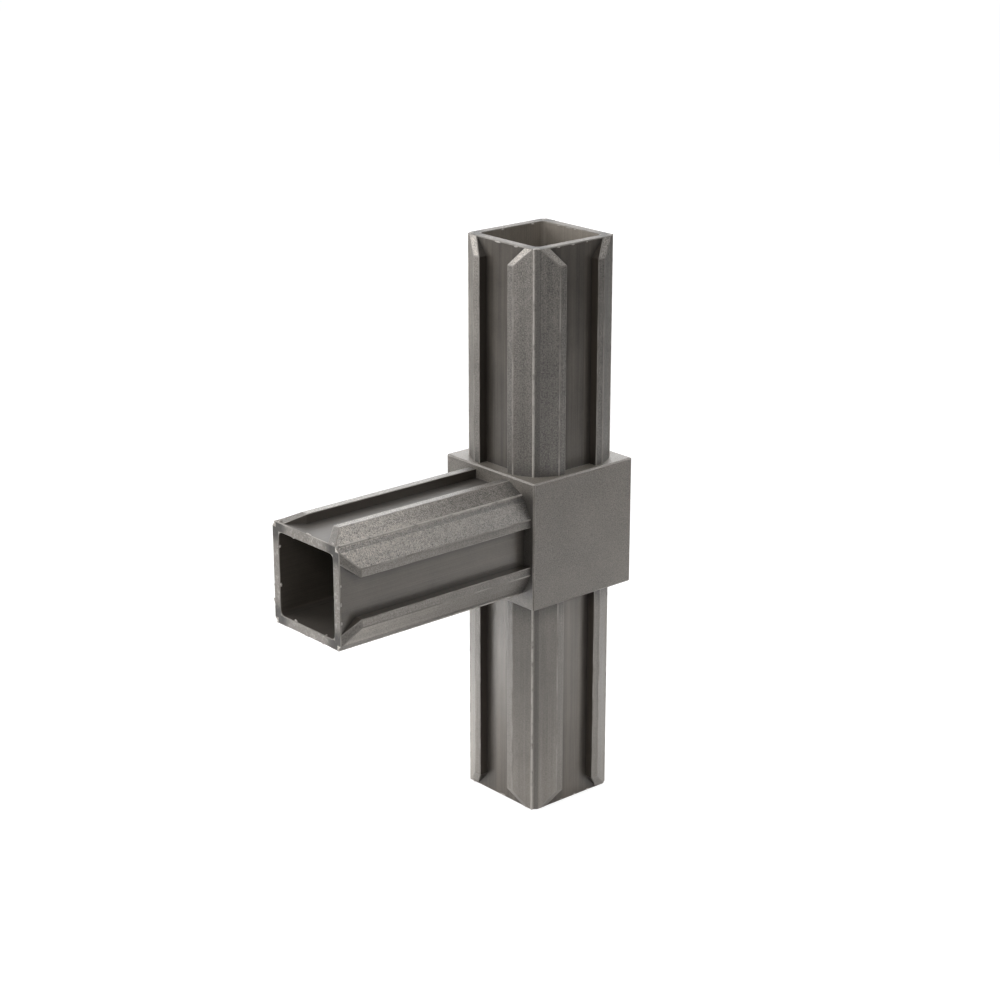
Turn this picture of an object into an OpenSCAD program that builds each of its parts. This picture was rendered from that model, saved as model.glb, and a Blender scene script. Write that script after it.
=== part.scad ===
// Square tube connector: a cube hub with three hollow, finned spigots, moulded in one piece.
// Two spigots lie on one line along Z, and the third points along -Y.
// The origin is the middle of the lower spigot's end, on which the connector stands.

/* [Tube] */
// Outer side of the square tubes that it joins, and so of its hub
tube_side = 25; // [20:0.5:40]
// Wall thickness of those tubes
tube_wall = 1; // [0.8:0.1:2]
// How far the tube's wall presses each fin in when a spigot is driven home
fin_squeeze = 0.1; // [0:0.05:0.3]

/* [Hub] */
// Leg of the small bevel on the hub's edges
hub_edge_cut = 0.25; // [0.1:0.05:0.5]
// Wall left between the hollows of two spigots where they meet in the hub
hub_web = 2; // [1.2:0.1:4]

/* [Spigots] */
// Length of each spigot, from the hub's face to its end
spigot_len = 43; // [15:1:80]
// Wall thickness of the hollow core
core_wall = 1.8; // [1.2:0.1:2.5]
// Leg of the flat along each corner of the core
core_corner_cut = 0.9; // [0.4:0.1:1.2]
// Radius of the corners of the hollow
bore_corner_r = 1; // [0.4:0.1:2]

/* [Fins] */
// Height of the fins over the faces of the core
fin_height = 1.8; // [1:0.1:2.4]
// Width of the slope that rises from the flat at the core's corner
fin_slope_run = 3.4; // [2:0.1:4]
// Width of the flat top that touches the tube
fin_land = 1.6; // [0.8:0.1:2]
// Length of the ramp that leads each fin into the tube
fin_lead = 3.4; // [2:0.1:8]
// Width that is left of the fin at the spigot's end, beside the corner flat
fin_nose = 2.2; // [1:0.1:2.8]

/* [Hidden] */
$fn = 48;

// Distance across the fins' flat tops, which fill the tube
land_span = tube_side - 2 * tube_wall + 2 * fin_squeeze;
core_side = land_span - 2 * fin_height;
bore_side = core_side - 2 * core_wall;
// From the hub's centre to the end of a spigot
reach = tube_side / 2 + spigot_len;
// Width of a whole fin on its face of the core
fin_width = fin_slope_run + fin_land;
// How deep a fin's root sits in the wall of the core
fin_root = core_wall / 2;
// How far a hollow is cut past the end of its spigot
overrun = 1;

// Square with its corners cut off at 45 degrees
module cut_square(side, cut) {
    h = side / 2;
    polygon([
        [-h, -h + cut], [-h + cut, -h], [h - cut, -h], [h, -h + cut],
        [h, h - cut], [h - cut, h], [-h + cut, h], [-h, h - cut]
    ]);
}

// Square with round corners
module round_square(side, r) {
    straight = side - 2 * r;
    square([side, straight], center = true);
    square([straight, side], center = true);
    for (x = [-1, 1], y = [-1, 1])
        translate([x * straight / 2, y * straight / 2])
            circle(r = r);
}

// Cube with a small bevel on every edge
module hub() {
    intersection_for (turn = [[0, 0, 0], [90, 0, 0], [0, 90, 0]])
        rotate(turn)
            linear_extrude(tube_side, center = true)
                cut_square(tube_side, hub_edge_cut);
}

// One fin along Z. It lies on a face that looks along +Y, with Y = 0 on that face,
// X = 0 at the edge of the corner flat, and Z = 0 at the hub's centre.
module fin() {
    section = [
        [0, -fin_root], [0, 0], [fin_slope_run, fin_height],
        [fin_width, fin_height], [fin_width, -fin_root]
    ];
    // Outline on the face: the inner side turns towards the corner at the spigot's end
    plan = [
        [0, 0], [fin_width, 0], [fin_width, reach - fin_lead],
        [fin_nose, reach], [0, reach]
    ];
    // Outline from the side, as Y and Z: the ramp starts at the spigot's very end
    ramp = [
        [-fin_root, 0], [fin_height, 0], [fin_height, reach - fin_lead],
        [0, reach], [-fin_root, reach]
    ];
    intersection() {
        linear_extrude(reach)
            polygon(section);
        translate([0, fin_height, 0])
            rotate([90, 0, 0])
                linear_extrude(fin_height + fin_root)
                    polygon(plan);
        rotate([90, 0, 90])
            linear_extrude(fin_width)
                polygon(ramp);
    }
}

// Two mirrored fins on each of the four faces of the core
module fins() {
    for (face = [0 : 90 : 270], side = [0, 1])
        rotate(face)
            mirror([side, 0, 0])
                translate([core_corner_cut - core_side / 2, core_side / 2, 0])
                    fin();
}

// Solid spigot along +Z from the hub's centre
module spigot() {
    linear_extrude(reach)
        cut_square(core_side, core_corner_cut);
    fins();
}

// Hollow of a spigot along +Z, from its floor to past its end
module hollow(floor_at) {
    translate([0, 0, floor_at])
        linear_extrude(reach + overrun - floor_at)
            round_square(bore_side, bore_corner_r);
}

// Turn that lays the third spigot along -Y
side_turn = [90, 0, 0];

module connector() {
    color([0.29, 0.28, 0.27])
        translate([0, 0, reach])
            difference() {
                union() {
                    hub();
                    spigot();
                    mirror([0, 0, 1]) spigot();
                    rotate(side_turn) spigot();
                }
                hollow(hub_web / 2);
                mirror([0, 0, 1]) hollow(hub_web / 2);
                rotate(side_turn) hollow(bore_side / 2 + hub_web);
            }
}

connector();
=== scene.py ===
"""Dresses the square tube connector: rounded body, parting ridges, rim flash, stage."""

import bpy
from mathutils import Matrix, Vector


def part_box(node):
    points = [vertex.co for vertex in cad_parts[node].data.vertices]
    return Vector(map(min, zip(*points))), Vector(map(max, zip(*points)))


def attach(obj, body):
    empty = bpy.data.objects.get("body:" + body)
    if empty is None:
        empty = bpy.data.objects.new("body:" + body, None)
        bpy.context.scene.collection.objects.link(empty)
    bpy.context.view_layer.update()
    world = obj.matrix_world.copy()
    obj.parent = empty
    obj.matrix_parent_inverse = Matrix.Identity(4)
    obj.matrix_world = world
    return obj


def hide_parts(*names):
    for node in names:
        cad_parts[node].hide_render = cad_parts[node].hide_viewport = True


bl_info = {
    "name": "Square tube connector",
    "version": (1, 0, 0),
    "blender": (4, 5, 0),
    "location": "View3D > Sidebar > Connector",
    "description": "Builds the moulded tube connector's looks on its CAD model",
    "category": "Object",
}

from math import cos, pi, radians, sin
from types import SimpleNamespace

import bmesh
import bpy
from bpy.props import FloatProperty, FloatVectorProperty, IntProperty, PointerProperty
from bpy.types import Operator, Panel, PropertyGroup
from mathutils import Matrix, Vector

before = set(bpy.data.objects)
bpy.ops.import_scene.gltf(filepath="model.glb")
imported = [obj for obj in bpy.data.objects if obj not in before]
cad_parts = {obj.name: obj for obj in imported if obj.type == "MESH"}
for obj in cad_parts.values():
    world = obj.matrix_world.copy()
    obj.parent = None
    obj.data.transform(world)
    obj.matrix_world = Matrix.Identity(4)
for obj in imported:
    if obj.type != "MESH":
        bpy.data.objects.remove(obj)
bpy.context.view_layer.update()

NODE = "connector"
MM = 0.001

# The part, in metres, as the CAD source has it
HIGH = Vector(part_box(NODE)[1])
HUB_HALF = HIGH.x
REACH = HIGH.z / 2
CENTRE = Vector((0, 0, REACH))
CORE_HALF = 9.8 * MM
LAND_HALF = 11.6 * MM
CORNER_CUT = 0.9 * MM
FIN_INNER = 3.9 * MM
FIN_LEAD = 3.4 * MM
FIN_TURN = 2.8 * MM
BORE_HALF = 8.0 * MM
# Slack with which one face of the part is told from the next
HAIR = 0.01 * MM


class BodySettings(PropertyGroup):
    """Sizes of the small forms that the mould leaves on the body."""

    edge_radius: FloatProperty(
        name="Edge Rounding",
        description="How far the body's edges are rounded",
        default=0.2 * MM, min=0.02 * MM, max=0.3 * MM,
        precision=5, unit="LENGTH", subtype="DISTANCE",
    )
    ridge_width: FloatProperty(
        name="Ridge Width",
        description="Width of the ridge that the parting of the mould leaves along each corner",
        default=0.42 * MM, min=0.1 * MM, max=0.9 * MM,
        precision=5, unit="LENGTH", subtype="DISTANCE",
    )
    ridge_height: FloatProperty(
        name="Ridge Height",
        description="Height of that ridge over the corner's flat",
        default=0.17 * MM, min=0.02 * MM, max=0.4 * MM,
        precision=5, unit="LENGTH", subtype="DISTANCE",
    )
    flash_size: FloatProperty(
        name="Flash Size",
        description="How far the scraps of flash stand out from the rims",
        default=0.45 * MM, min=0.02 * MM, max=0.8 * MM,
        precision=5, unit="LENGTH", subtype="DISTANCE",
    )
    flash_seed: IntProperty(
        name="Flash Seed",
        description="Picks where the scraps of flash are",
        default=7, min=0,
    )


class PlasticSettings(PropertyGroup):
    """Colours and finish of the moulded plastic, and the light and shade painted on it."""

    grained: FloatVectorProperty(
        name="Grained Colour",
        description="Colour of the hub and the fins, which have a fine grain",
        default=(0.136, 0.122, 0.106), min=0, max=1, size=3, subtype="COLOR",
    )
    smooth: FloatVectorProperty(
        name="Smooth Colour",
        description="Colour of the smoother faces between the fins",
        default=(0.104, 0.090, 0.075), min=0, max=1, size=3, subtype="COLOR",
    )
    fin: FloatVectorProperty(
        name="Fin Colour",
        description="Colour of the outside of the fins, which rubs a little paler",
        default=(0.192, 0.175, 0.156), min=0, max=1, size=3, subtype="COLOR",
    )
    rim: FloatVectorProperty(
        name="Rim Colour",
        description="Colour of the spigots' ends",
        default=(0.218, 0.200, 0.180), min=0, max=1, size=3, subtype="COLOR",
    )
    # Its pale colour is the flash's own, and also paints the highlight along the parting ridges
    torn_and_highlit: FloatVectorProperty(
        name="Flash Colour",
        description="Colour of the ridges and scraps where the mould parts",
        default=(0.50, 0.47, 0.435), min=0, max=1, size=3, subtype="COLOR",
    )
    # Its dark colour paints the shade on the fins' inner walls
    wall: FloatVectorProperty(
        name="Fin Wall Colour",
        description="Colour of the polished inner walls of the fins",
        default=(0.036, 0.029, 0.022), min=0, max=1, size=3, subtype="COLOR",
    )
    # Its pale colour paints the light that falls into the hollows near their open ends
    lit_mouth: FloatVectorProperty(
        name="Mouth Colour",
        description="Colour of the hollows close to their ends",
        default=(0.300, 0.268, 0.232), min=0, max=1, size=3, subtype="COLOR",
    )
    # Its dark colour paints the shade deep in the hollows
    bore: FloatVectorProperty(
        name="Hollow Colour",
        description="Colour inside the hollow spigots",
        default=(0.085, 0.074, 0.062), min=0, max=1, size=3, subtype="COLOR",
    )
    grain_size: FloatProperty(
        name="Grain Size",
        description="Size of the mould's grain on the surface",
        default=0.22 * MM, min=0.05 * MM, max=2 * MM,
        precision=5, unit="LENGTH", subtype="DISTANCE",
    )
    grained_roughness: FloatProperty(
        name="Grained Roughness",
        description="Roughness of the hub and the fins",
        default=0.38, min=0, max=1, subtype="FACTOR",
    )
    smooth_roughness: FloatProperty(
        name="Smooth Roughness",
        description="Roughness of the faces between the fins",
        default=0.33, min=0, max=1, subtype="FACTOR",
    )
    rim_roughness: FloatProperty(
        name="Rim Roughness",
        description="Roughness of the spigots' ends",
        default=0.55, min=0, max=1, subtype="FACTOR",
    )
    grain_depth: FloatProperty(
        name="Grain Depth",
        description="Depth of the grain in the surface",
        default=0.09 * MM, min=0, max=0.3 * MM,
        precision=5, unit="LENGTH", subtype="DISTANCE",
    )
    hub_contrast: FloatProperty(
        name="Hub Grain Contrast",
        description="How strongly the grain shows on the hub",
        default=2.8, min=0,
    )
    fin_contrast: FloatProperty(
        name="Fin Grain Contrast",
        description="How strongly the grain shows on the fins",
        default=2.8, min=0,
    )
    streak_contrast: FloatProperty(
        name="Streak Contrast",
        description="How strongly the streaks show between the fins",
        default=2.0, min=0,
    )
    # Painted glints on the raised grains of the fins that face up
    painted_glint: FloatProperty(
        name="Painted Glint",
        description="How much paler the raised grains are on the sides of the fins that face up",
        default=0.23, min=0,
    )
    # Painted light: the fins are paler towards the spigots' ends
    painted_end_light: FloatProperty(
        name="Painted End Light",
        description="How much paler the fins are towards the spigots' ends",
        default=1.0, min=0, max=2, subtype="FACTOR",
    )
    # Painted shade deep in the corners beside the fins and the hub
    painted_crevice_shade: FloatProperty(
        name="Crevice Tone",
        description="What is left of the colour deep in the corners",
        default=0.12, min=0, max=1, subtype="FACTOR",
    )
    shine: FloatProperty(
        name="Shine",
        description="Strength of the reflections",
        default=1.0, min=0, max=1, subtype="FACTOR",
    )


class StageSettings(PropertyGroup):
    """Floor, lamps and camera."""

    floor_colour: FloatVectorProperty(
        name="Floor Colour",
        description="Colour of the plain pale floor",
        default=(0.82, 0.82, 0.82), min=0, max=1, size=3, subtype="COLOR",
    )
    floor_shade: FloatVectorProperty(
        name="Floor Shade",
        description="How strongly the camera sees light and shadow on the white floor",
        default=(0.3, 0.3, 0.3), min=0, max=1, size=3, subtype="COLOR",
    )
    floor_white: FloatProperty(
        name="Floor White",
        description="White that the floor shows to the camera beside the part",
        default=0.86, min=0, max=1,
    )
    floor_size: FloatProperty(
        name="Floor Size",
        description="Side of the floor",
        default=3.0, min=0.5, unit="LENGTH", subtype="DISTANCE",
    )
    lamp_level: FloatProperty(
        name="Lamp Level",
        description="Multiplies the strength of all lamps",
        default=1.0, min=0,
    )
    world_level: FloatProperty(
        name="World Level",
        description="Strength of the even light from all round",
        default=0.03, min=0,
    )
    world_shine: FloatProperty(
        name="World Shine",
        description="Brightness of the white surroundings, as the camera and reflections see them",
        default=1.0, min=0,
    )
    camera_azimuth: FloatProperty(
        name="Camera Azimuth",
        description="Turn of the camera round the part, from its front",
        default=radians(48.8825), unit="ROTATION", subtype="ANGLE",
    )
    camera_elevation: FloatProperty(
        name="Camera Elevation",
        description="Angle at which the camera looks down",
        default=radians(18.8887), unit="ROTATION", subtype="ANGLE",
    )
    camera_distance: FloatProperty(
        name="Camera Distance",
        description="From the hub's centre to the camera, along the view",
        default=0.451635, min=0.1, precision=4, unit="LENGTH", subtype="DISTANCE",
    )
    camera_offset: FloatVectorProperty(
        name="Camera Offset",
        description="How far the camera stands to the right of the hub and above it",
        default=(-0.007456, 0.003365), size=2, precision=5,
        unit="LENGTH", subtype="XYZ",
    )
    lens: FloatProperty(
        name="Focal Length",
        description="Focal length of the lens, in millimetres",
        default=84.68, min=1,
    )


class NodeMaker:
    """Adds nodes to a tree and links them in one call."""

    def __init__(self, tree):
        self.tree = tree

    def plug(self, socket, value):
        if isinstance(value, bpy.types.NodeSocket):
            self.tree.links.new(value, socket)
        elif value is not None:
            socket.default_value = value

    def add(self, kind, inputs=(), **settings):
        node = self.tree.nodes.new(kind)
        for name, value in settings.items():
            setattr(node, name, value)
        for name, value in dict(inputs).items():
            self.plug(node.inputs[name], value)
        return node

    def math(self, operation, a, b=None, c=None, clamp=False):
        node = self.add("ShaderNodeMath", operation=operation, use_clamp=clamp)
        for socket, value in zip(node.inputs, (a, b, c)):
            self.plug(socket, value)
        return node.outputs[0]

    def chain(self, operation, first, *others):
        """One operation on all the values in turn, such as their product."""
        for other in others:
            first = self.math(operation, first, other)
        return first

    def above(self, value, limit):
        return self.math("GREATER_THAN", value, limit)

    def below(self, value, limit):
        return self.math("LESS_THAN", value, limit)

    def outside(self, mask):
        """1 where the mask is 0, and the other way round."""
        return self.math("SUBTRACT", 1.0, mask)

    def factor(self, mask, change):
        """1 where the mask is 0, and 1 + change where it is 1."""
        return self.math("MULTIPLY_ADD", mask, change, 1.0)

    def step(self, value, low, high):
        """0 below low, 1 above high, smooth between; the other way round where low > high."""
        node = self.add(
            "ShaderNodeMapRange",
            {"Value": value, "From Min": min(low, high), "From Max": max(low, high),
             "To Min": float(low > high), "To Max": float(low < high)},
            interpolation_type="SMOOTHSTEP",
        )
        return node.outputs["Result"]

    def blend(self, factor, a, b):
        node = self.add("ShaderNodeMix", data_type="FLOAT")
        self.plug(node.inputs[0], factor)
        self.plug(node.inputs[2], a)
        self.plug(node.inputs[3], b)
        return node.outputs[0]

    def blend_colour(self, factor, a, b):
        """Blends two colours, each of which is a socket or red, green and blue."""
        node = self.add("ShaderNodeMix", data_type="RGBA")
        self.plug(node.inputs[0], factor)
        for socket, colour in ((node.inputs[6], a), (node.inputs[7], b)):
            given = isinstance(colour, bpy.types.NodeSocket)
            self.plug(socket, colour if given else (*colour, 1))
        return node.outputs[2]

    def vector(self, x=None, y=None, z=None):
        return self.add("ShaderNodeCombineXYZ", {"X": x, "Y": y, "Z": z}).outputs[0]

    def split(self, vector):
        return self.add("ShaderNodeSeparateXYZ", {"Vector": vector}).outputs

    def vector_math(self, operation, vector, more=()):
        """One operation on a vector, with more inputs by number or name where it takes them."""
        inputs = {0: vector, **dict(more)}
        return self.add("ShaderNodeVectorMath", inputs, operation=operation).outputs

    def centred(self, noise):
        """The noise, moved so that it lies round 0."""
        return self.math("SUBTRACT", noise, 0.5)

    def noise(self, vector, size, detail=2.0, roughness=0.5):
        """Noise with features about size metres across, 0 to 1."""
        node = self.add(
            "ShaderNodeTexNoise",
            {"Vector": vector, "Scale": 1 / size, "Detail": detail, "Roughness": roughness},
        )
        return node.outputs["Fac"]


def new_material(name):
    material = bpy.data.materials.new(name)
    material.use_nodes = True
    material.node_tree.nodes.clear()
    return material, NodeMaker(material.node_tree)


# Sizes of the plastic's patterns, and the share of a spigot's length that its streaks' noise sees,
# which draws them out
STREAK_SIZE = 1.6 * MM
SCORE_SIZE = 0.25 * MM
CLOUD_SIZE = 7 * MM
# The blotches paint highlights on the fins that face up
LIT_MOTTLE_SIZE = 0.75 * MM
# The glints are painted highlights
GLINT_SIZE = 0.2 * MM
TORN_SIZE = 0.6 * MM
STREAK_DRAW = 0.015

# Contrast of the patterns, where no setting gives it
SMOOTH_GRAIN = 0.5
BORE_STREAKS = 0.3
FIN_SCORES = 0.4
SMOOTH_SCORES = 0.5
CLOUD_CONTRAST = 0.5
# Contrast of the blotches that paint highlights on the fins that face up
LIT_MOTTLE_CONTRAST = 1.6

# Change of the grain's contrast where fins face up, which paints the light from above catching the
# grain, what is left of it low on the part, and what is left of the streaks on the side spigot
UPTURNED_GRAIN_LIGHT = 0.8
LOW_GRAIN = 0.4
SIDE_STREAKS = 0.3

# Change of the colour's level in each place: above 0 is paler, and below 0 is darker. All but the
# fins' and the lands' own tones paint light or shade
# Painted shade on the upper spigot, where its fins face +X and between its fins
UPPER_FACE_SHADE = -0.35
UPPER_FLOOR_SHADE = -0.25
# Painted light on the upper spigot's ramps, and painted shade on the side spigot's
UPPER_RAMP_LIGHT = 0.9
SIDE_RAMP_SHADE = -0.6
# Painted sheen on the hub's top face
HUB_TOP_LIGHT = 0.35
# Painted shadow on the hub's front beside the side spigot
HUB_CONTACT_SHADE = -0.85
# Painted shadow beside each corner's parting ridge
CORNER_STRIP_SHADE = -0.45
# Painted shade on the floors between the fins that face up
UPTURNED_FLOOR_SHADE = -0.5
FIN_TONE = -0.12
LAND_TONE = -0.08

# What is left of the painted end light on the upright spigots, and its change on the fins' flat tops
UPRIGHT_END_LIGHT = 0.35
LAND_END_LIGHT = -0.4

# Strength of the painted glints at the hub and at the spigots' ends
GLINT_AT_HUB = 0.5
GLINT_AT_END = 1.4

# How far a face's normal points up, or to +X, where each change starts and where it is full
FIN_UP = (0.0, 0.5)
FLOOR_UP = (0.3, 0.8)
HUB_UP = (0.5, 0.9)
TOWARDS_X = (0.2, 0.8)

# Heights over which the grain's contrast grows
GRAIN_RISE = (20 * MM, 70 * MM)

# Distances from a fin's wall or the hub over which the shade of the corner fades
FLOOR_SHADE = (-2 * MM, 4.5 * MM)
FIN_SHADE = (-0.8 * MM, 2.2 * MM)

# Where the shade on the hub's front beside the side spigot fades in X, and up and down from it
CONTACT_X = (8 * MM, 10 * MM)
CONTACT_Z = (12 * MM, 9 * MM)

# Distances from the hub's centre, along a spigot, over which its painted end light and the painted
# shade deep in its hollow grow
END_LIGHT_ALONG = (HUB_HALF + 8 * MM, REACH - 2 * MM)
HOLLOW_SHADE_ALONG = (REACH - 2 * MM, REACH - 14 * MM)

# Parts of the noise that show as painted glints, and as pale patches on a rim
GLINT_FROM = (0.52, 0.7)
TORN_FROM = (0.45, 0.8)

# Change of the roughness between fins that face up, and with the clouds
UPTURNED_ROUGHNESS = 0.16
CLOUD_ROUGHNESS = 0.12

# Height of the streaks and scores, as a share of the grain's
STREAK_RELIEF = 0.3

# The pale plastic's depth of grain, the part of its noise over which patches turn pale, and its
# roughness off them and on them
PALE_GRAIN_DEPTH = 0.04 * MM
PALE_SPREAD = 0.3
PALE_ROUGHNESS = (0.35, 0.55)

# The shine's slightly warm tint
SHINE_TINT = (1.0, 0.975, 0.945, 1.0)


def measures(n):
    """Where a point is, which way its face looks, and its place in its own spigot."""
    place = n.add("ShaderNodeTexCoord").outputs["Object"]
    at = n.split(place)
    height = n.math("SUBTRACT", at["Z"], REACH)
    x, y, z = (n.math("ABSOLUTE", value) for value in (at["X"], at["Y"], height))
    # 1 on the side spigot, and 0 on the hub and the two upright ones
    side = n.below(at["Y"], -HUB_HALF - HAIR)
    across = n.blend(side, y, z)
    drawn = n.math("MULTIPLY", n.blend(side, height, at["Y"]), STREAK_DRAW)
    return SimpleNamespace(
        place=place,
        signed=at,
        facing=n.split(n.add("ShaderNodeNewGeometry").outputs["Normal"]),
        x=x,
        across=across,
        z=z,
        side=side,
        upper=n.above(height, HUB_HALF),
        outer=n.math("MAXIMUM", x, across),
        inner=n.math("MINIMUM", x, across),
        along=n.blend(side, z, y),
        drawn=n.vector(at["X"], n.blend(side, at["Y"], height), drawn),
    )


def faces(n, at):
    """Masks of the kinds of face, 1 on them and 0 elsewhere, and how far in the fins' walls are."""
    spigot = n.above(at.along, HUB_HALF + HAIR)
    rim = n.above(at.along, REACH - 2 * HAIR)
    low = n.below(at.outer, CORE_HALF + 6 * HAIR)
    flat_half = CORE_HALF - CORNER_CUT
    floor = n.chain("MULTIPLY", spigot, low, n.below(at.inner, flat_half - 20 * HAIR))
    # The fins' inner walls turn towards the corners over the last millimetres
    turned = n.math("DIVIDE", n.math("SUBTRACT", at.along, REACH - FIN_LEAD), FIN_LEAD, clamp=True)
    border = n.math("MULTIPLY_ADD", turned, FIN_TURN, FIN_INNER + 10 * HAIR)
    below_land = n.below(at.outer, LAND_HALF - 10 * HAIR)
    wall = n.chain("MULTIPLY", n.below(at.inner, border), below_land, spigot, n.outside(low))
    bore = n.below(at.outer, BORE_HALF + 5 * HAIR)
    smooth = n.chain("MAXIMUM", floor, wall, bore)
    fin = n.math("MULTIPLY", spigot, n.outside(smooth))
    # Each fin's ramp ends where it cuts the slope beside it
    past_slope = n.below(n.math("SUBTRACT", at.inner, at.along), flat_half - 10 * HAIR - REACH)
    ramp = n.chain("MULTIPLY", n.above(at.along, REACH - FIN_LEAD), past_slope, fin)
    # The strip of each corner's flat between its ridge and the face that looks to +X or -X, which
    # takes a painted shadow of the ridge
    corner = n.above(n.math("ADD", at.outer, at.inner), CORE_HALF + flat_half - 10 * HAIR)
    near_core = n.below(at.outer, CORE_HALF + 10 * HAIR)
    off_ramp = n.math("SUBTRACT", fin, ramp)
    return SimpleNamespace(
        spigot=spigot,
        rim=rim,
        floor=floor,
        border=border,
        wall=wall,
        bore=bore,
        smooth=smooth,
        fin=fin,
        ramp=ramp,
        land=n.math("MULTIPLY", spigot, n.above(at.outer, LAND_HALF - 5 * HAIR)),
        ridge_shadow_strip=n.chain("MULTIPLY", corner, spigot, near_core, n.above(at.x, at.across)),
        upturned_fin=n.math("MULTIPLY", off_ramp, n.step(at.facing["Z"], *FIN_UP)),
        upturned_floor=n.chain("MULTIPLY", floor, n.step(at.facing["Z"], *FLOOR_UP), n.outside(rim)),
    )


def patterns(n, at, settings):
    """Grain, streaks and fine scores drawn out along each spigot, and soft clouds, all 0 to 1."""
    return SimpleNamespace(
        grain=n.noise(at.place, settings.grain_size, detail=2, roughness=0.7),
        streaks=n.noise(at.drawn, STREAK_SIZE, detail=4, roughness=0.7),
        scores=n.noise(at.drawn, SCORE_SIZE, detail=1),
        clouds=n.noise(at.place, CLOUD_SIZE, detail=3, roughness=0.6),
    )


def pattern_tone(n, at, on, pattern, settings):
    """How much the patterns lighten or darken the colour, round 0, with painted highlights where the
    fins face up.
    """
    fin_grain = n.chain(
        "MULTIPLY", n.factor(on.upturned_fin, UPTURNED_GRAIN_LIGHT),
        n.blend(n.step(at.signed["Z"], *GRAIN_RISE), LOW_GRAIN, 1.0), settings.fin_contrast)
    grain = n.blend(on.fin, settings.hub_contrast, fin_grain)
    streaks = n.blend(at.side, settings.streak_contrast, SIDE_STREAKS * settings.streak_contrast)
    streaks = n.blend(on.bore, streaks, BORE_STREAKS)
    scores = n.math("MULTIPLY", on.fin, FIN_SCORES)
    # Blotches painted as highlights on the fins that face up
    lit_mottle = n.noise(at.place, LIT_MOTTLE_SIZE, detail=2, roughness=0.6)
    contrasts = (
        (pattern.grain, n.blend(on.smooth, grain, SMOOTH_GRAIN)),
        (pattern.streaks, n.blend(on.smooth, on.fin, streaks)),
        (pattern.scores, n.blend(on.smooth, scores, SMOOTH_SCORES)),
        (pattern.clouds, CLOUD_CONTRAST),
        (lit_mottle, n.math("MULTIPLY", on.upturned_fin, LIT_MOTTLE_CONTRAST)),
    )
    return n.chain("ADD", *(
        n.math("MULTIPLY", n.centred(noise), contrast) for noise, contrast in contrasts))


def upper_painted_shade(n, at, on):
    """Painted shade on the upper spigot between its fins and where its fins face +X, round 0."""
    towards_x = n.step(at.facing["X"], *TOWARDS_X)
    darker = n.chain(
        "MULTIPLY", at.upper, n.outside(on.bore), n.math("MAXIMUM", on.floor, towards_x),
        n.outside(on.rim))
    return n.math("MULTIPLY", darker, n.blend(on.floor, UPPER_FACE_SHADE, UPPER_FLOOR_SHADE))


def openness(n, at, on):
    """1 in the open and less in the corners beside the fins and the hub, where it is in shade."""
    far = 1.0
    gap = n.blend(on.floor, far, n.math("SUBTRACT", on.border, at.inner))
    gap = n.math("MINIMUM", gap, n.math("SUBTRACT", at.along, HUB_HALF))
    beside = n.blend(on.floor, n.step(gap, *FLOOR_SHADE), n.step(gap, *FIN_SHADE))
    in_open = n.blend(n.math("MULTIPLY", on.spigot, n.outside(on.bore)), 1.0, beside)
    # The strip of the hub's front beside the side spigot
    front = n.math("SUBTRACT", n.below(at.signed["Y"], 2 * HAIR - HUB_HALF), at.side)
    strip = n.chain(
        "MULTIPLY", front, n.step(at.signed["X"], *CONTACT_X), n.step(at.z, *CONTACT_Z))
    return n.math("MULTIPLY", in_open, n.factor(strip, HUB_CONTACT_SHADE))


def painted_end_light(n, at, on, settings):
    """Level of the fins, with painted light that makes them paler towards the spigots' ends, most of
    all on the side spigot.
    """
    # Painted light, growing towards the spigots' ends
    worn = n.chain(
        "MULTIPLY", on.fin, n.step(at.along, *END_LIGHT_ALONG),
        n.blend(at.side, UPRIGHT_END_LIGHT, 1.0), n.factor(on.land, LAND_END_LIGHT))
    return n.math("MULTIPLY_ADD", worn, settings.painted_end_light, n.factor(on.fin, FIN_TONE))


def plastic_tone(n, at, on, pattern, settings):
    """What the plain colour is multiplied by, painted light and shade among it."""
    tone = n.chain("ADD", pattern_tone(n, at, on, pattern, settings), upper_painted_shade(n, at, on), 1.0)
    shade = n.math(
        "MULTIPLY_ADD", openness(n, at, on), 1 - settings.painted_crevice_shade, settings.painted_crevice_shade)
    # Painted sheen on the hub's top face
    lit_hub_top = n.math("MULTIPLY", n.outside(on.spigot), n.step(at.facing["Z"], *HUB_UP))
    return n.chain(
        "MULTIPLY", tone, shade, painted_end_light(n, at, on, settings),
        n.factor(lit_hub_top, HUB_TOP_LIGHT),
        n.factor(on.ridge_shadow_strip, CORNER_STRIP_SHADE),
        n.factor(on.upturned_floor, UPTURNED_FLOOR_SHADE),
        n.factor(on.land, LAND_TONE),
        n.factor(n.math("MULTIPLY", on.ramp, at.side), SIDE_RAMP_SHADE),
        n.factor(n.math("MULTIPLY", on.ramp, at.upper), UPPER_RAMP_LIGHT),
    )


def plastic_colour(n, at, on, settings):
    """Plain colour of each kind of face, with painted shade on the fins' inner walls and deep in the
    hollows, and painted light near their open ends.
    """
    # Painted shade deep in the hollows and all through the side spigot's
    deep = n.math("MAXIMUM", at.side, n.step(at.along, *HOLLOW_SHADE_ALONG))
    torn_and_highlit = n.step(n.noise(at.place, TORN_SIZE, detail=3, roughness=0.7), *TORN_FROM)
    colour = n.blend_colour(on.spigot, settings.grained, settings.fin)
    for mask, there in (
        (on.floor, settings.smooth),
        (on.wall, settings.wall),
        (on.bore, n.blend_colour(deep, settings.lit_mouth, settings.bore)),
        (on.rim, n.blend_colour(torn_and_highlit, settings.rim, settings.torn_and_highlit)),
    ):
        colour = n.blend_colour(mask, colour, there)
    return colour


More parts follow.
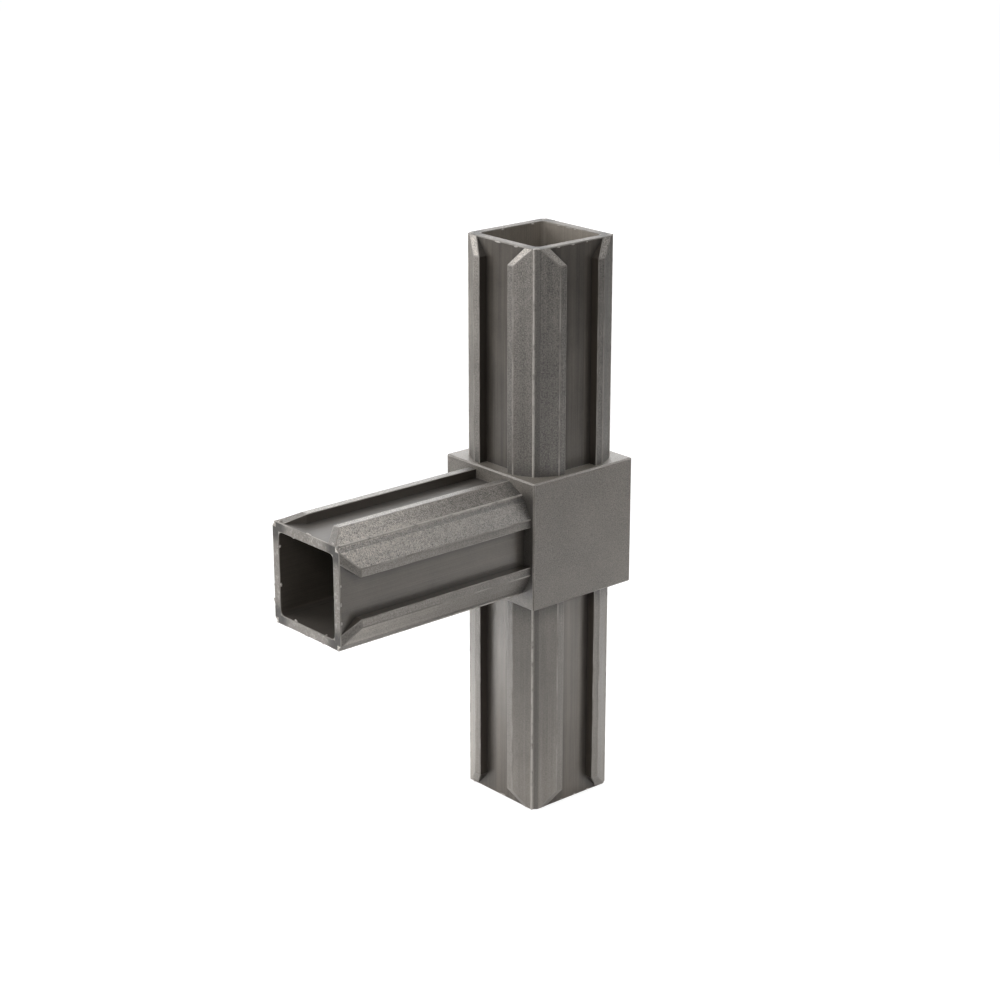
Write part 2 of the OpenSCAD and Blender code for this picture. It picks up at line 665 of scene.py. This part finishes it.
def painted_glint(n, at, on, settings):
    """Painted glints on the raised grains of the fins' sides that face up, most at the spigots' ends.
    """
    grains = n.step(n.noise(at.place, GLINT_SIZE, detail=2, roughness=0.8), *GLINT_FROM)
    level = n.blend(n.step(at.along, HUB_HALF, REACH), GLINT_AT_HUB, GLINT_AT_END)
    return n.chain("MULTIPLY", grains, on.upturned_fin, settings.painted_glint, level)


def plastic_roughness(n, on, pattern, settings):
    """Roughness of each kind of face, a little uneven."""
    roughness = n.blend(on.smooth, settings.grained_roughness, settings.smooth_roughness)
    roughness = n.blend(on.rim, roughness, settings.rim_roughness)
    roughness = n.math("MULTIPLY_ADD", on.upturned_floor, UPTURNED_ROUGHNESS, roughness)
    return n.math("MULTIPLY_ADD", n.centred(pattern.clouds), CLOUD_ROUGHNESS, roughness)


def plastic_relief(n, on, pattern):
    """Height of the surface: the grain, or the streaks where it is smooth."""
    lines = n.math("ADD", pattern.streaks, pattern.scores)
    return n.blend(on.smooth, pattern.grain, n.math("MULTIPLY", lines, STREAK_RELIEF))


def end_plastic(n, colour, roughness, height, depth, shine=()):
    """Ends a plastic's nodes with its bump, its shader and the output."""
    bump = n.add("ShaderNodeBump", {"Height": height, "Strength": 1.0, "Distance": depth})
    shader = n.add("ShaderNodeBsdfPrincipled", {
        "Base Color": colour, "Roughness": roughness, "IOR": 1.5, "Normal": bump.outputs[0],
        **dict(shine)})
    n.add("ShaderNodeOutputMaterial", {"Surface": shader.outputs[0]})


def moulded_plastic(settings):
    """Dark plastic: fine grain on the hub and the fins, smooth and streaked between the fins."""
    material, n = new_material("grained_plastic")
    at = measures(n)
    on = faces(n, at)
    pattern = patterns(n, at, settings)
    tone = plastic_tone(n, at, on, pattern, settings)
    colour = n.vector_math("SCALE", plastic_colour(n, at, on, settings), {"Scale": tone})[0]
    # The painted glints are added to the colour
    colour = n.vector_math("ADD", colour, {1: painted_glint(n, at, on, settings)})[0]
    end_plastic(
        n, colour, plastic_roughness(n, on, pattern, settings), plastic_relief(n, on, pattern),
        settings.grain_depth, {"Specular IOR Level": settings.shine, "Specular Tint": SHINE_TINT})
    return material


def pale_plastic(settings, name, pale_at, patch, share):
    """Plastic with pale patches; more of it is pale where pale_at is low, and paler by share."""
    material, n = new_material(name)
    place = n.add("ShaderNodeTexCoord").outputs["Object"]
    patches = n.noise(place, patch, detail=4, roughness=0.6)
    pale = n.math("MULTIPLY", n.step(patches, pale_at, pale_at + PALE_SPREAD), share)
    end_plastic(
        n, n.blend_colour(pale, settings.fin, settings.torn_and_highlit), n.blend(patches, *PALE_ROUGHNESS),
        n.noise(place, settings.grain_size), PALE_GRAIN_DEPTH)
    return material


def plastic(name):
    """The named material, which is made the first time."""
    made = bpy.data.materials.get(name)
    if made:
        return made
    settings = bpy.context.scene.connector_plastic
    if name == "grained_plastic":
        return moulded_plastic(settings)
    if name == "torn_plastic":
        return pale_plastic(settings, name, pale_at=0.22, patch=1.5 * MM, share=1.0)
    # Worn plastic for the rounded edges, whose pale patches also paint their highlights
    return pale_plastic(settings, name, pale_at=0.34, patch=6 * MM, share=0.5)


def settle(piece, name):
    """Names a finished piece, and lets it ride on the part."""
    piece.name = piece.data.name = name
    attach(piece, "root")


def grown_mesh(name, tree, values):
    """Runs a Geometry Nodes tree with the named inputs, and returns the result as a plain object."""
    piece = bpy.data.objects.new(name, bpy.data.meshes.new(name + "_seed"))
    bpy.context.scene.collection.objects.link(piece)
    modifier = piece.modifiers.new("Nodes", "NODES")
    modifier.node_group = tree
    sockets = {
        item.name: item.identifier for item in tree.interface.items_tree if item.in_out == "INPUT"}
    for key, value in values.items():
        modifier[sockets[key]] = value
    graph = bpy.context.evaluated_depsgraph_get()
    mesh = bpy.data.meshes.new_from_object(piece.evaluated_get(graph), depsgraph=graph)
    piece.modifiers.clear()
    piece.data = mesh
    return piece


def new_tree(name, kinds):
    """A Geometry Nodes tree with a geometry output, and an input of each named kind."""
    tree = bpy.data.node_groups.new(name, "GeometryNodeTree")
    for label, kind in kinds.items():
        tree.interface.new_socket(label, in_out="INPUT", socket_type="NodeSocket" + kind)
    tree.interface.new_socket("Geometry", in_out="OUTPUT", socket_type="NodeSocketGeometry")
    maker = NodeMaker(tree)
    return tree, maker, maker.add("NodeGroupInput").outputs


def on_three_spigots(n, geometry, reach, material):
    """Repeats what is drawn for a spigot along +Z on all three, and ends the tree."""
    joined = n.add("GeometryNodeJoinGeometry")
    for turn in ((0, 0, 0), (pi, 0, 0), (pi / 2, 0, 0)):
        placed = n.add("GeometryNodeTransform", {"Geometry": geometry, "Rotation": turn})
        n.plug(joined.inputs[0], placed.outputs[0])
    lifted = n.add("GeometryNodeTransform", {
        "Geometry": joined.outputs[0], "Translation": n.vector(z=reach)})
    real = n.add("GeometryNodeRealizeInstances", {"Geometry": lifted.outputs[0]})
    coated = n.add("GeometryNodeSetMaterial", {
        "Geometry": real.outputs[0], "Material": material})
    n.add("NodeGroupOutput", {"Geometry": coated.outputs[0]})


def ridge_tree():
    """Half-round ridges along the four corners of each spigot."""
    tree, n, given = new_tree("Parting ridges", {
        "Width": "Float", "Height": "Float", "Start": "Float", "Reach": "Float",
        "Corner X": "Float", "Corner Y": "Float", "Material": "Material"})
    line = n.add("GeometryNodeCurvePrimitiveLine", {
        "Start": n.vector(z=given["Start"]), "End": n.vector(z=given["Reach"])})
    ring = n.add("GeometryNodeCurvePrimitiveCircle", {"Resolution": 16, "Radius": 1.0})
    size = n.vector(given["Height"], n.math("MULTIPLY", given["Width"], 0.5), 1.0)
    profile = n.add("GeometryNodeTransform", {"Geometry": ring.outputs[0], "Scale": size})
    bead = n.add("GeometryNodeCurveToMesh", {
        "Curve": line.outputs[0], "Profile Curve": profile.outputs[0], "Fill Caps": True})
    corners = n.add("GeometryNodeMeshGrid", {
        "Size X": n.math("MULTIPLY", given["Corner X"], 2.0),
        "Size Y": n.math("MULTIPLY", given["Corner Y"], 2.0),
        "Vertices X": 2, "Vertices Y": 2})
    place = n.add("GeometryNodeInputPosition").outputs[0]
    turned = n.add(
        "FunctionNodeAlignRotationToVector", {"Vector": n.vector_math("SIGN", place)[0]},
        axis="X", pivot_axis="Z")
    beads = n.add("GeometryNodeInstanceOnPoints", {
        "Points": corners.outputs[0], "Instance": bead.outputs[0],
        "Rotation": turned.outputs[0]})
    on_three_spigots(n, beads.outputs[0], given["Reach"], given["Material"])
    return tree


# Places for scraps of flash along each edge of a rim, and how far from its corners they keep
SCRAP_PLACES = 44
SCRAP_MARGIN = 1.6 * MM
# Half sizes of the smallest and the largest scrap across the edge, along it and up, as shares of
# the flash size
SCRAP_LEAST = (0.2, 0.4, 0.15)
SCRAP_MOST = (0.8, 2.6, 0.6)
# How deep the scraps sit in the rim, as a share of their size
SCRAP_SINK = 0.6
# Share of the places that have a scrap
SCRAP_SHARE = 0.33
# How deep in the hub the parting ridges start, and the cosine of the 45 degrees at which the
# corners' flats lie, which carry them
RIDGE_ROOT = 0.2 * MM
FLAT_COSINE = 0.7071


def scraps(n, given, half, key):
    """Scraps of flash along a square with this half side; the key keeps their seeds apart."""
    side = n.math("MULTIPLY", half, 2.0)
    edge = n.add("GeometryNodeCurvePrimitiveQuadrilateral", {"Width": side, "Height": side})
    points = n.add("GeometryNodeCurveToPoints", {
        "Curve": edge.outputs[0], "Count": SCRAP_PLACES}).outputs
    seed = n.math("ADD", given["Seed"], key)
    kept = n.add(
        "FunctionNodeRandomValue", {"Probability": given["Share"], "Seed": seed},
        data_type="BOOLEAN").outputs[3]
    place = n.split(n.add("GeometryNodeInputPosition").outputs[0])
    nearer = n.math(
        "MINIMUM", n.math("ABSOLUTE", place["X"]), n.math("ABSOLUTE", place["Y"]))
    straight = n.below(nearer, n.math("SUBTRACT", half, SCRAP_MARGIN))
    size = n.add(
        "FunctionNodeRandomValue",
        {"Min": SCRAP_LEAST, "Max": SCRAP_MOST, "Seed": n.math("ADD", seed, 1.0)},
        data_type="FLOAT_VECTOR").outputs[0]
    turn = n.add(
        "FunctionNodeAlignRotationToVector", {"Vector": points["Tangent"]},
        axis="Y", pivot_axis="Z")
    scrap = n.add("GeometryNodeMeshIcoSphere", {"Radius": 1.0, "Subdivisions": 1})
    placed = n.add("GeometryNodeInstanceOnPoints", {
        "Points": points["Points"], "Selection": n.math("MULTIPLY", straight, kept),
        "Instance": scrap.outputs["Mesh"], "Rotation": turn.outputs[0],
        "Scale": n.vector_math("SCALE", size, {"Scale": given["Size"]})[0]})
    return placed.outputs[0]


def flash_tree():
    """Scraps of flash along the inner and outer edges of each spigot's end."""
    tree, n, given = new_tree("Rim flash", {
        "Size": "Float", "Inner Half": "Float", "Outer Half": "Float", "Reach": "Float",
        "Seed": "Int", "Share": "Float", "Material": "Material"})
    joined = n.add("GeometryNodeJoinGeometry")
    for half, key in (("Inner Half", 0), ("Outer Half", 31)):
        n.plug(joined.inputs[0], scraps(n, given, given[half], key))
    sunk = n.math("MULTIPLY", given["Size"], SCRAP_SINK)
    raised = n.add("GeometryNodeTransform", {
        "Geometry": joined.outputs[0],
        "Translation": n.vector(z=n.math("SUBTRACT", given["Reach"], sunk))})
    on_three_spigots(n, raised.outputs[0], given["Reach"], given["Material"])
    return tree


# Edges that turn by less than this stay as they are, and the hub's take only a share
LEAST_TURN = radians(20)
HUB_ROUNDING = 0.4


def edge_rounding(edge):
    """Share of the full rounding for an edge: none inside corners or in the fins' inner walls."""
    if not edge.is_convex or edge.calc_face_angle() < LEAST_TURN:
        return 0
    if abs(edge.calc_length() - (LAND_HALF - CORE_HALF)) < 2 * HAIR:
        return 0
    reach = max(abs(c) for vert in edge.verts for c in vert.co - CENTRE)
    return HUB_ROUNDING if reach < HUB_HALF + HAIR else 1


class CONNECTOR_OT_body(Operator):
    """Round the edges of the moulded body and give it its plastic"""

    bl_idname = "connector.body"
    bl_label = "Body"

    def execute(self, context):
        settings = context.scene.connector_body
        piece = bpy.data.objects.new("moulded_body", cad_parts[NODE].data.copy())
        context.scene.collection.objects.link(piece)
        self.weigh_edges(piece.data)
        piece.data.materials.clear()
        for name in ("grained_plastic", "worn_and_highlit_plastic"):
            piece.data.materials.append(plastic(name))
        bevel = piece.modifiers.new("Rounding", "BEVEL")
        bevel.width = settings.edge_radius
        bevel.segments = 3
        bevel.limit_method = "WEIGHT"
        # The rounding takes the second material, the worn one, whose pale patches also paint the
        # rounding's highlights
        bevel.material = 1
        bevel.use_clamp_overlap = True
        for face in piece.data.polygons:
            face.use_smooth = False
        settle(piece, "moulded_body")
        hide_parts(NODE)
        return {"FINISHED"}

    @staticmethod
    def weigh_edges(mesh):
        """Joins the mesh's triangles to whole faces, and says how far each edge is rounded."""
        shape = bmesh.new()
        shape.from_mesh(mesh)
        bmesh.ops.remove_doubles(shape, verts=shape.verts, dist=0.1 * HAIR)
        bmesh.ops.dissolve_limit(
            shape, angle_limit=radians(0.5), verts=shape.verts, edges=shape.edges)
        rounded = shape.edges.layers.float.new("bevel_weight_edge")
        for edge in shape.edges:
            edge[rounded] = edge_rounding(edge)
        shape.to_mesh(mesh)
        shape.free()


class CONNECTOR_OT_ridges(Operator):
    """Lay the ridges that the parting of the mould leaves along the spigots' corners"""

    bl_idname = "connector.ridges"
    bl_label = "Parting Ridges"

    def execute(self, context):
        settings = context.scene.connector_body
        inset = settings.ridge_width / 2 * FLAT_COSINE
        piece = grown_mesh("parting_ridges", ridge_tree(), {
            "Width": settings.ridge_width, "Height": settings.ridge_height,
            "Start": HUB_HALF - RIDGE_ROOT, "Reach": REACH,
            "Corner X": CORE_HALF - CORNER_CUT + inset, "Corner Y": CORE_HALF - inset,
            # The ridges' pale plastic also paints their highlight
            "Material": plastic("torn_plastic"),
        })
        settle(piece, "parting_ridges")
        return {"FINISHED"}


class CONNECTOR_OT_flash(Operator):
    """Leave scraps of flash on the spigots' ends"""

    bl_idname = "connector.flash"
    bl_label = "Rim Flash"

    def execute(self, context):
        settings = context.scene.connector_body
        piece = grown_mesh("rim_flash", flash_tree(), {
            "Size": settings.flash_size, "Inner Half": BORE_HALF + 3 * HAIR,
            "Outer Half": CORE_HALF - 3 * HAIR, "Reach": REACH,
            "Seed": settings.flash_seed, "Share": SCRAP_SHARE, "Material": plastic("torn_plastic"),
        })
        settle(piece, "rim_flash")
        return {"FINISHED"}


# Lamps as degrees to the right of the camera and above the horizon, distance and side in metres,
# brightness, where 1 is white, and what they face: the part, or the floor straight below
LAMPS = {
    "lamp_back": (180, 20, 0.60, 0.40, 1.7, "part"),
    "lamp_back_right": (130, 45, 0.60, 0.40, 0.3, "part"),
    "lamp_left": (-98, 20, 0.35, 0.15, 3.8, "part"),
    "lamp_left_high": (-98, 45, 0.35, 0.15, 4.2, "part"),
    "lamp_front_left": (-50, 25, 0.20, 0.12, 2.0, "part"),
    "lamp_front_high": (-20, 40, 0.35, 0.15, 2.6, "part"),
    "lamp_right_high": (70, 45, 0.35, 0.15, 1.2, "part"),
    "lamp_right_end": (32, -12, 0.12, 0.05, 0.8, "part"),
    "lamp_top": (0, 88, 0.20, 0.12, 0.6, "part"),
    "pool_left": (-98, -12, 0.09, 0.04, 16.0, "floor"),
    "pool_back_left": (-150, 25, 0.12, 0.08, 1.3, "floor"),
    "pool_back_right": (138, 25, 0.12, 0.08, 2.8, "floor"),
    "pool_right": (82, 24, 0.11, 0.08, 2.9, "floor"),
    "pool_right_low": (82, -6, 0.11, 0.06, 2.8, "floor"),
}
WHITE = (1, 1, 1, 1)
# Distances from the part over which the floor turns white to the camera
FLOOR_FADE = (0.05, 0.3)


def direction(azimuth, elevation):
    """Unit vector from the part towards a place round it; azimuth 0 is its front."""
    return Vector((
        sin(azimuth) * cos(elevation), -cos(azimuth) * cos(elevation), sin(elevation)))


def pale_floor(settings):
    """Matte floor that lights the part, and shows the camera a soft shadow on near white."""
    material, n = new_material("pale_floor")
    path = n.add("ShaderNodeLightPath").outputs
    seen = n.math("MAXIMUM", path["Is Camera Ray"], path["Is Transmission Ray"])
    place = n.add("ShaderNodeTexCoord").outputs["Object"]
    far = n.step(n.vector_math("LENGTH", place)["Value"], *FLOOR_FADE)
    matte = n.add("ShaderNodeBsdfDiffuse", {
        "Color": n.blend_colour(seen, settings.floor_colour, settings.floor_shade)})
    white = n.math("MULTIPLY", seen, n.blend(far, settings.floor_white, 1.0))
    glow = n.add("ShaderNodeEmission", {"Color": WHITE, "Strength": white})
    both = n.add("ShaderNodeAddShader", {0: matte.outputs[0], 1: glow.outputs[0]})
    n.add("ShaderNodeOutputMaterial", {"Surface": both.outputs[0]})
    return material


class CONNECTOR_OT_stage(Operator):
    """Set the floor, the lamps, the white surroundings and the camera"""

    bl_idname = "connector.stage"
    bl_label = "Stage"

    def execute(self, context):
        settings = context.scene.connector_stage
        self.floor(settings)
        for name, (right, up, *lamp) in LAMPS.items():
            towards = direction(settings.camera_azimuth + radians(right), radians(up))
            self.lamp(name, towards, *lamp, settings.lamp_level)
        self.surroundings(context.scene, settings)
        self.camera(context.scene, settings)
        return {"FINISHED"}

    @staticmethod
    def floor(settings):
        shape = bmesh.new()
        bmesh.ops.create_grid(shape, x_segments=1, y_segments=1, size=settings.floor_size / 2)
        mesh = bpy.data.meshes.new("floor")
        shape.to_mesh(mesh)
        shape.free()
        mesh.materials.append(pale_floor(settings))
        floor = bpy.data.objects.new("floor", mesh)
        bpy.context.scene.collection.objects.link(floor)

    @staticmethod
    def lamp(name, towards, distance, side, level, faces, scale):
        data = bpy.data.lights.new(name, "AREA")
        data.shape = "SQUARE"
        data.size = side
        data.energy = level * scale * pi * side * side
        lamp = bpy.data.objects.new(name, data)
        bpy.context.scene.collection.objects.link(lamp)
        lamp.location = CENTRE + towards * distance
        if faces == "part":
            lamp.rotation_euler = towards.to_track_quat("Z", "Y").to_euler()

    @staticmethod
    def surroundings(scene, settings):
        world = bpy.data.worlds.new("studio")
        world.use_nodes = True
        world.node_tree.nodes.clear()
        n = NodeMaker(world.node_tree)
        path = n.add("ShaderNodeLightPath").outputs
        rays = (path[name] for name in ("Is Camera Ray", "Is Glossy Ray", "Is Transmission Ray"))
        level = n.blend(n.chain("MAXIMUM", *rays), settings.world_level, settings.world_shine)
        background = n.add("ShaderNodeBackground", {"Color": WHITE, "Strength": level})
        n.add("ShaderNodeOutputWorld", {"Surface": background.outputs[0]})
        scene.world = world
        scene.view_settings.view_transform = "Standard"

    @staticmethod
    def camera(scene, settings):
        azimuth = settings.camera_azimuth
        back = direction(azimuth, settings.camera_elevation)
        right = Vector((cos(azimuth), sin(azimuth), 0))
        up = back.cross(right)
        data = bpy.data.cameras.new("camera")
        data.sensor_width = 36
        data.lens = settings.lens
        data.clip_start = 0.01
        data.clip_end = 20
        camera = bpy.data.objects.new("camera", data)
        scene.collection.objects.link(camera)
        to_right, to_top = settings.camera_offset
        place = CENTRE + settings.camera_distance * back + to_right * right + to_top * up
        turn = Matrix((right, up, back)).transposed()
        camera.matrix_world = Matrix.Translation(place) @ turn.to_4x4()
        scene.camera = camera


class CONNECTOR_PT_panel(Panel):
    """Sizes, finish and stage of the connector"""

    bl_idname = "CONNECTOR_PT_panel"
    bl_label = "Square Tube Connector"
    bl_space_type = "VIEW_3D"
    bl_region_type = "UI"
    bl_category = "Connector"

    def draw(self, context):
        scene = context.scene
        for operator in OPERATORS:
            self.layout.operator(operator.bl_idname)
        for group in (scene.connector_body, scene.connector_plastic, scene.connector_stage):
            box = self.layout.box()
            for name in group.bl_rna.properties.keys():
                if name not in ("rna_type", "name"):
                    box.prop(group, name)


GROUPS = {
    "connector_body": BodySettings,
    "connector_plastic": PlasticSettings,
    "connector_stage": StageSettings,
}
OPERATORS = (
    CONNECTOR_OT_stage, CONNECTOR_OT_body, CONNECTOR_OT_ridges, CONNECTOR_OT_flash,
)
CLASSES = (*GROUPS.values(), *OPERATORS, CONNECTOR_PT_panel)


def register():
    for cls in CLASSES:
        bpy.utils.register_class(cls)
    for name, group in GROUPS.items():
        setattr(bpy.types.Scene, name, PointerProperty(type=group))


def unregister():
    for name in GROUPS:
        delattr(bpy.types.Scene, name)
    for cls in reversed(CLASSES):
        bpy.utils.unregister_class(cls)


def main():
    register()
    bpy.ops.connector.stage()
    bpy.ops.connector.body()
    bpy.ops.connector.ridges()
    bpy.ops.connector.flash()


if __name__ == "__main__":
    main()
